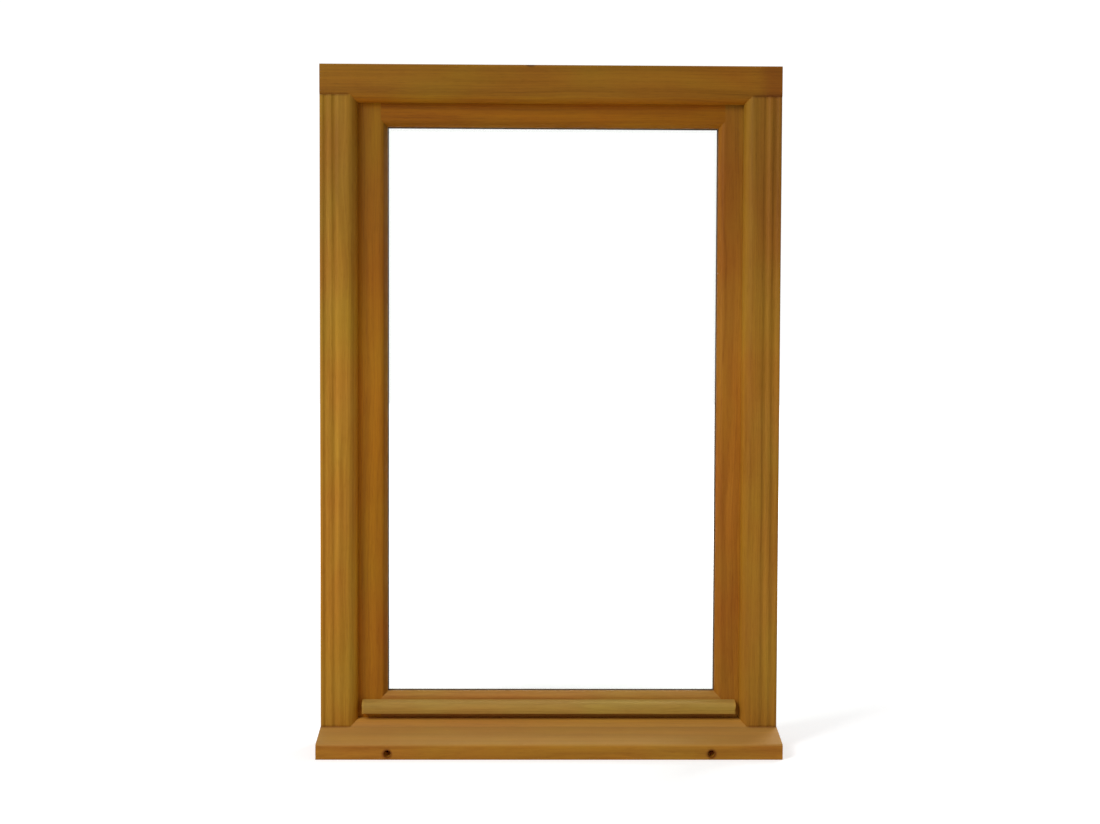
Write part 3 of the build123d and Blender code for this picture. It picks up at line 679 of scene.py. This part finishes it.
# Drill-in hinges of nickel-plated steel, one half bored into the frame and one into the sash.
# The plating is satin, with a fine grit. The handle's square spindle is plated in the same way.
plated_steel = plain_finish("nickel_plated_steel", base="#8F8A81", roughness=0.30, metallic=1.0)
for height in ("lower", "upper"):
    clad("hinge_" + height + "_frame_half", plated_steel)
    clad("hinge_" + height + "_sash_half", plated_steel)
clad("handle_spindle", plated_steel)

# Handle cast in aluminium and satin anodised.
# Its rose lies on the right stile, and the lever hangs down from the neck while it is closed.
satin_aluminium = plain_finish("satin_anodised_aluminium", base="#A3A4A5", roughness=0.36,
                               metallic=1.0)
clad("handle_rose", satin_aluminium)
clad("handle_lever", satin_aluminium)

# A turned collar closes the gap between the rose and the neck that turns in it.
# Its section is spun once round the handle's axis.
neck_radius = 0.0075
collar_fit = 0.0001
collar_radius = 0.0100
collar_height = 0.0022
collar_bevel = 0.0007
collar_steps = 48
merge_reach = 1e-6
rose_low, rose_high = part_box("handle_rose")
handle_axis_x = (rose_low[0] + rose_high[0]) / 2
handle_axis_z = (rose_low[2] + rose_high[2]) / 2
rose_front_y = rose_high[1]
collar = bmesh.new()
inner = handle_axis_x + neck_radius + collar_fit
outer = handle_axis_x + collar_radius
collar_section = [
    collar.verts.new((inner, rose_front_y, handle_axis_z)),
    collar.verts.new((outer, rose_front_y, handle_axis_z)),
    collar.verts.new((outer, rose_front_y + collar_height - collar_bevel, handle_axis_z)),
    collar.verts.new((outer - collar_bevel, rose_front_y + collar_height, handle_axis_z)),
    collar.verts.new((inner, rose_front_y + collar_height, handle_axis_z)),
]
collar_outline = [
    collar.edges.new((collar_section[i - 1], collar_section[i])) for i in range(len(collar_section))
]
bmesh.ops.spin(collar, geom=collar_section + collar_outline, cent=(handle_axis_x, 0, handle_axis_z),
               axis=(0, 1, 0), angle=math.tau, steps=collar_steps, use_merge=True)
bmesh.ops.remove_doubles(collar, verts=collar.verts, dist=merge_reach)
bmesh.ops.recalc_face_normals(collar, faces=collar.faces)
finished_piece("handle_collar", collar, satin_aluminium, smooth=True)

# Two domed steel screws with six-lobed sockets fix the rose, 43 mm apart.
# Each head starts as a disc on the rose, is raised to a dome and has its socket pushed in.
rose_screw_spacing = 0.043
screw_head_radius = 0.0036
screw_sides = 36
screw_above_rose = 0.00002
screw_dome = 0.0009
screw_dome_rim = 0.0013
socket_radius = 0.0016
socket_lobes = 6
socket_lobe = 0.0003
socket_depth = 0.0008
screws = bmesh.new()
for side in (-1, 1):
    screw_z = handle_axis_z + side * rose_screw_spacing / 2
    centre = Vector((handle_axis_x, rose_front_y + screw_above_rose, screw_z))
    flat = Matrix.Translation(centre) @ Matrix.Rotation(math.radians(-90), 4, "X")
    rim = bmesh.ops.create_circle(screws, cap_ends=True, segments=screw_sides,
                                  radius=screw_head_radius, matrix=flat)
    top = rim["verts"][0].link_faces[0]
    bmesh.ops.inset_individual(screws, faces=[top], thickness=screw_dome_rim, depth=screw_dome)
    socket_inset = screw_head_radius - screw_dome_rim - socket_radius
    bmesh.ops.inset_individual(screws, faces=[top], thickness=socket_inset, depth=0.0)
    for corner in top.verts:
        arm = corner.co - centre
        arm.y = 0.0
        turn = math.atan2(arm.z, arm.x)
        corner.co += arm.normalized() * socket_lobe * math.cos(socket_lobes * turn)
    walls = bmesh.ops.extrude_face_region(screws, geom=[top])
    socket_floor = [v for v in walls["geom"] if isinstance(v, bmesh.types.BMVert)]
    bmesh.ops.translate(screws, verts=socket_floor, vec=(0, -socket_depth, 0))
    bmesh.ops.delete(screws, geom=[top], context="FACES_ONLY")
finished_piece("rose_screws", screws, plated_steel, smooth=True)


# Pale studio floor that keeps the window's shadow and looks white to the camera.
# It glows only for the rays that look at the background, and less so close to the window.
def background_rays(tree):
    """1 for camera rays and for what gloss and glass show of the background, else 0."""
    path = add(tree, "ShaderNodeLightPath")
    seen = path.outputs["Is Camera Ray"]
    for other in ("Is Glossy Ray", "Is Transmission Ray"):
        seen = add(tree, "ShaderNodeMath", {"operation": "MAXIMUM"},
                   _0=seen, _1=path.outputs[other]).outputs[0]
    return seen


white = linear("#FFFFFF")
floor_half_m = 14.0
floor_glow_low = 0.42
floor_glow_from_m = 0.6
floor_glow_full_m = 2.4
bpy.ops.mesh.primitive_plane_add(size=2 * floor_half_m, location=(0, 0, 0))
floor = bpy.context.object
floor.name = "studio_floor"
floor_finish, tree, output = new_finish("pale_studio_floor")
paint = add(tree, "ShaderNodeBsdfDiffuse", Color=linear("#E7E7E7"))
spot = add(tree, "ShaderNodeTexCoord")
away = add(tree, "ShaderNodeVectorMath", {"operation": "LENGTH"}, _0=spot.outputs["Object"])
level = add(tree, "ShaderNodeMapRange", {"interpolation_type": "SMOOTHSTEP"},
            Value=away.outputs["Value"], From_Min=floor_glow_from_m, From_Max=floor_glow_full_m,
            To_Min=floor_glow_low, To_Max=1.0)
glow = add(tree, "ShaderNodeEmission", Color=white, Strength=level.outputs[0])
lifted = add(tree, "ShaderNodeAddShader", _0=paint.outputs[0], _1=glow.outputs[0])
floor_surface = add(tree, "ShaderNodeMixShader", _0=background_rays(tree), _1=paint.outputs[0],
                    _2=lifted.outputs[0])
tree.links.new(floor_surface.outputs[0], output.inputs["Surface"])
floor.data.materials.append(floor_finish)

# A white room, whose even light fills the shadows on the window.
# The rays that look at the background see it as plain white.
dome_strength = 0.40
backdrop_strength = 1.05
world = bpy.data.worlds.new("studio_world")
bpy.context.scene.world = world
world.use_nodes = True
tree = world.node_tree
tree.nodes.clear()
dome = add(tree, "ShaderNodeBackground", Color=white, Strength=dome_strength)
backdrop = add(tree, "ShaderNodeBackground", Color=white, Strength=backdrop_strength)
room = add(tree, "ShaderNodeMixShader", _0=background_rays(tree), _1=dome.outputs[0],
           _2=backdrop.outputs[0])
add(tree, "ShaderNodeOutputWorld", Surface=room.outputs[0])


# Two square soft boxes, which light the window plainly from both sides.
# The key stands outdoors, high on the left, and a weaker one stands high on the room side.
def soft_lamp(name, stand, target, size, power):
    """A square soft box aimed at a point."""
    lamp = bpy.data.lights.new(name, "AREA")
    lamp.shape = "SQUARE"
    lamp.size = size
    lamp.energy = power
    holder = bpy.data.objects.new(name, lamp)
    bpy.context.scene.collection.objects.link(holder)
    aim = (Vector(target) - Vector(stand)).to_track_quat("-Z", "Y")
    holder.matrix_world = Matrix.Translation(stand) @ aim.to_matrix().to_4x4()


soft_lamp("key_soft_box", stand=(-2.3, -2.4, 2.6), target=(0, 0, 0.45), size=1.5, power=100)
soft_lamp("room_soft_box", stand=(2.2, 3.0, 2.4), target=(0, 0, 0.5), size=2.0, power=84)

# Camera where the photograph was taken from: a little left of the middle and looking slightly down.
# The angles are in radians.
camera_place = (-0.035, -2.3616, 0.5956)
camera_tilt = -0.04117
camera_swing = 0.0147
camera_roll = 0.00382
photo_width_px = 1100
focal_px = 1616.9
sensor_mm = 36.0
camera_data = bpy.data.cameras.new("photo_camera")
camera_data.sensor_width = sensor_mm
camera_data.lens = focal_px / photo_width_px * sensor_mm
camera = bpy.data.objects.new("photo_camera", camera_data)
bpy.context.scene.collection.objects.link(camera)
camera.matrix_world = (
    Matrix.Translation(camera_place)
    @ Matrix.Rotation(-camera_swing, 4, "Z")
    @ Matrix.Rotation(math.pi / 2 + camera_tilt, 4, "X")
    @ Matrix.Rotation(camera_roll, 4, "Z")
)
bpy.context.scene.camera = camera
bpy.context.scene.view_settings.view_transform = "Standard"
